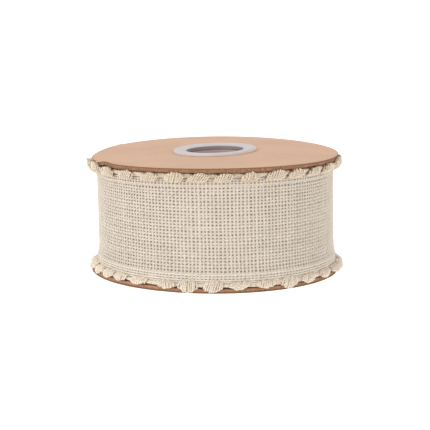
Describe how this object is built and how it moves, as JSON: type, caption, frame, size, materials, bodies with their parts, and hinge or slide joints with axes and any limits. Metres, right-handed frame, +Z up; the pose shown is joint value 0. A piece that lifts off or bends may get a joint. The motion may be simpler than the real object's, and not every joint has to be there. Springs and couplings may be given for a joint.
{
  "type": "fringed wired ribbon on a spool",
  "caption": "Cream open-weave wired ribbon with a looped yarn fringe along both edges, wound on a kraft board spool with a plastic hub.",
  "frame": {"origin": "middle of the ring under the hub that the spool stands on", "axes": "+Z up along the spool's axis, -Y towards the front of the picture, +X to the right"},
  "size_m": [0.0936, 0.0936, 0.0457],
  "materials": {
    "kraft_board": "matt kraft board, plain",
    "hub_plastic": "milky, slightly translucent plastic",
    "ribbon_cloth": "open plain weave with dense selvages",
    "fringe_yarn": "soft plied yarn loops"
  },
  "bodies": {
    "root": {"board_bottom": "kraft_board", "board_top": "kraft_board", "hub_tube": "hub_plastic", "hub_cap": "hub_plastic", "ribbon_roll": "ribbon_cloth", "fringe_bottom": "fringe_yarn", "fringe_top": "fringe_yarn"}
  },
  "joints": []
}
